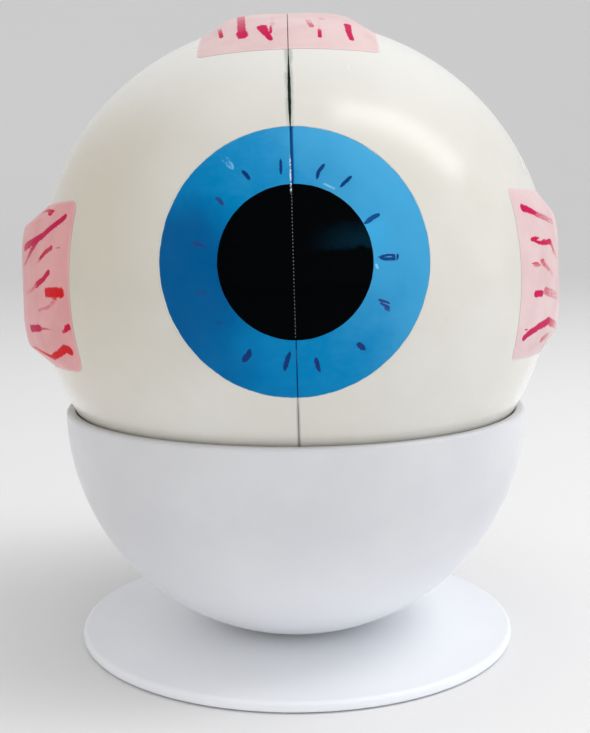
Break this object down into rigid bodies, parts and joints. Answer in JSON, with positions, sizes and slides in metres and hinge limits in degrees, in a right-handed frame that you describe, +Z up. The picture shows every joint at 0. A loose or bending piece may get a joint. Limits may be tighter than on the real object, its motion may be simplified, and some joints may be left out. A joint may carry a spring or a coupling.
{
  "type": "eye anatomy model",
  "caption": "Take-apart classroom model of an eyeball, split through the iris into two shells over lining, lens and vitreous body, resting in a cup on a round base.",
  "frame": {"origin": "centre of the underside of the base plate, on the cup's centre line", "axes": "+Z up along the cup's centre line, -Y the way the eye looks, +X towards the nasal side of this right eye"},
  "size_m": [0.161, 0.1723, 0.1848],
  "materials": {
    "base_white": "satin cool-white moulded plastic",
    "cup_white": "satin cool-white moulded plastic",
    "zinc_steel": "zinc-plated steel",
    "sclera_ivory": "glossy warm-white paint on plastic",
    "iris_blue": "glossy hand-painted blue iris and black pupil",
    "muscle_pink": "pale pink paint with hand-painted red strokes",
    "nerve_sheath": "glossy warm-white paint on plastic",
    "nerve_yellow": "yellow paint with vessels painted on the cut end",
    "peg_brass": "turned brass pin",
    "choroid_red": "dark red paint outside, orange retina with painted vessels inside",
    "ciliary_brown": "brown-red paint over radial folds",
    "vitreous_clear": "clear moulded plastic",
    "lens_clear": "clear polished plastic"
  },
  "bodies": {
    "stand": {"base_plate": "base_white"},
    "cup": {"stand_cup": "cup_white", "cup_screw": "zinc_steel", "cup_washer": "zinc_steel", "cup_nut": "zinc_steel"},
    "vitreous": {"vitreous_body": "vitreous_clear"},
    "lens": {"crystalline_lens": "lens_clear"},
    "nasal_half": {"sclera_nasal": "sclera_ivory", "cornea_nasal": "iris_blue", "medial_rectus": "muscle_pink", "superior_rectus_nasal": "muscle_pink", "inferior_rectus_nasal": "muscle_pink", "optic_nerve_sheath": "nerve_sheath", "optic_nerve_core": "nerve_yellow", "seam_pegs": "peg_brass"},
    "temporal_half": {"sclera_temporal": "sclera_ivory", "cornea_temporal": "iris_blue", "lateral_rectus": "muscle_pink", "superior_rectus_temporal": "muscle_pink", "inferior_rectus_temporal": "muscle_pink"},
    "nasal_lining": {"choroid_nasal": "choroid_red", "ciliary_body_nasal": "ciliary_brown"},
    "temporal_lining": {"choroid_temporal": "choroid_red", "ciliary_body_temporal": "ciliary_brown"}
  },
  "joints": [
    {"name": "cup_swivel", "type": "hinge", "parent": "stand", "child": "cup", "pos_m": [0, 0, 0], "axis": [0, 0, 1], "continuous": true},
    {"name": "eyeball_lift", "type": "slide", "parent": "cup", "child": "vitreous", "axis": [0, 0, 1], "range_m": [0, 0.28]},
    {"name": "nasal_half_out", "type": "slide", "parent": "vitreous", "child": "nasal_half", "axis": [0.9998, 0, 0.0209], "range_m": [0, 0.14]},
    {"name": "temporal_half_out", "type": "slide", "parent": "vitreous", "child": "temporal_half", "axis": [-0.9998, 0, -0.0209], "range_m": [0, 0.14]},
    {"name": "nasal_lining_out", "type": "slide", "parent": "vitreous", "child": "nasal_lining", "axis": [0.9998, 0, 0.0209], "range_m": [0, 0.07]},
    {"name": "temporal_lining_out", "type": "slide", "parent": "vitreous", "child": "temporal_lining", "axis": [-0.9998, 0, -0.0209], "range_m": [0, 0.07]},
    {"name": "lens_out", "type": "slide", "parent": "vitreous", "child": "lens", "axis": [-0.0027, -0.9917, 0.1288], "range_m": [0, 0.056]}
  ],
  "couplings": [
    {"joint": "nasal_half_out", "follows": "eyeball_lift", "ratio": 0.5},
    {"joint": "temporal_half_out", "follows": "eyeball_lift", "ratio": 0.5},
    {"joint": "nasal_lining_out", "follows": "eyeball_lift", "ratio": 0.25},
    {"joint": "temporal_lining_out", "follows": "eyeball_lift", "ratio": 0.25},
    {"joint": "lens_out", "follows": "eyeball_lift", "ratio": 0.2}
  ]
}
